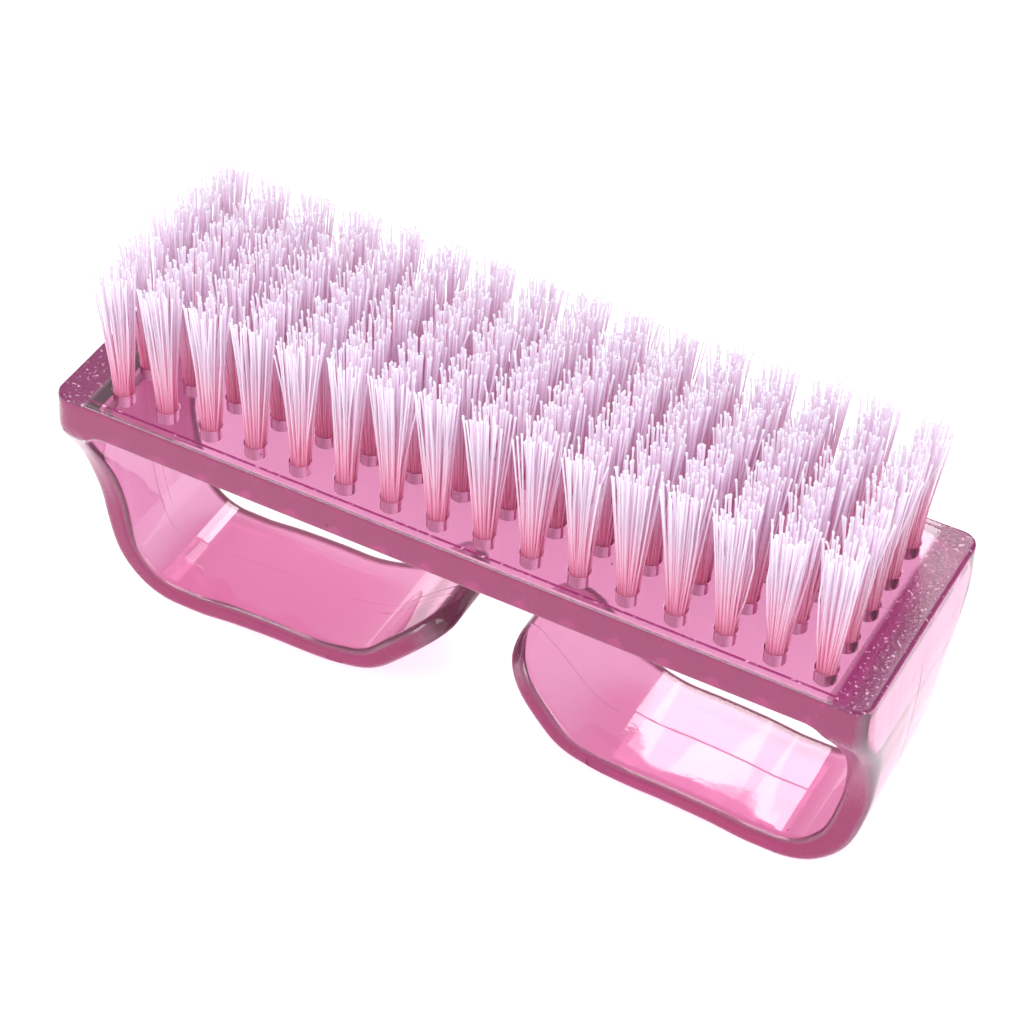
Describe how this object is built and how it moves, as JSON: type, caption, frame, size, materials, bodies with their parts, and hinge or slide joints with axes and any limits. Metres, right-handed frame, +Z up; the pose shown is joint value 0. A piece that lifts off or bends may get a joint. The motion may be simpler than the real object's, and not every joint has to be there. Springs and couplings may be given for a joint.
{
  "type": "nail brush",
  "caption": "Moulded clear plastic nail scrubbing brush: a rectangular block set with nylon bristle tufts, and a pair of curled finger hooks on its back that it also stands on.",
  "frame": {"origin": "on the resting surface, under the middle of the brush, with the brush standing on its finger hooks and the bristles up", "axes": "+X along the brush's length, +Y across its width, +Z up, out of the bristles' tips"},
  "size_m": [0.0908, 0.0286, 0.0472],
  "materials": {
    "clear_pink_plastic": "gloss",
    "nylon_bristle": "matte",
    "anchor_wire": "brushed"
  },
  "bodies": {
    "root": {"moulded_body": "clear_pink_plastic", "tuft_pair_r1_1": "nylon_bristle", "tuft_pair_r1_2": "nylon_bristle", "tuft_pair_r1_3": "nylon_bristle", "tuft_pair_r1_4": "nylon_bristle", "tuft_pair_r1_5": "nylon_bristle", "tuft_pair_r1_6": "nylon_bristle", "tuft_pair_r1_7": "nylon_bristle", "tuft_pair_r1_8": "nylon_bristle", "tuft_pair_r2_1": "nylon_bristle", "tuft_pair_r2_2": "nylon_bristle", "tuft_pair_r2_3": "nylon_bristle", "tuft_pair_r2_4": "nylon_bristle", "tuft_pair_r2_5": "nylon_bristle", "tuft_pair_r2_6": "nylon_bristle", "tuft_pair_r2_7": "nylon_bristle", "tuft_pair_r2_8": "nylon_bristle", "tuft_pair_r3_1": "nylon_bristle", "tuft_pair_r3_2": "nylon_bristle", "tuft_pair_r3_3": "nylon_bristle", "tuft_pair_r3_4": "nylon_bristle", "tuft_pair_r3_5": "nylon_bristle", "tuft_pair_r3_6": "nylon_bristle", "tuft_pair_r3_7": "nylon_bristle", "tuft_pair_r3_8": "nylon_bristle", "tuft_pair_r4_1": "nylon_bristle", "tuft_pair_r4_2": "nylon_bristle", "tuft_pair_r4_3": "nylon_bristle", "tuft_pair_r4_4": "nylon_bristle", "tuft_pair_r4_5": "nylon_bristle", "tuft_pair_r4_6": "nylon_bristle", "tuft_pair_r4_7": "nylon_bristle", "tuft_pair_r4_8": "nylon_bristle", "tuft_pair_r5_1": "nylon_bristle", "tuft_pair_r5_2": "nylon_bristle", "tuft_pair_r5_3": "nylon_bristle", "tuft_pair_r5_4": "nylon_bristle", "tuft_pair_r5_5": "nylon_bristle", "tuft_pair_r5_6": "nylon_bristle", "tuft_pair_r5_7": "nylon_bristle", "tuft_pair_r5_8": "nylon_bristle"}
  },
  "joints": []
}
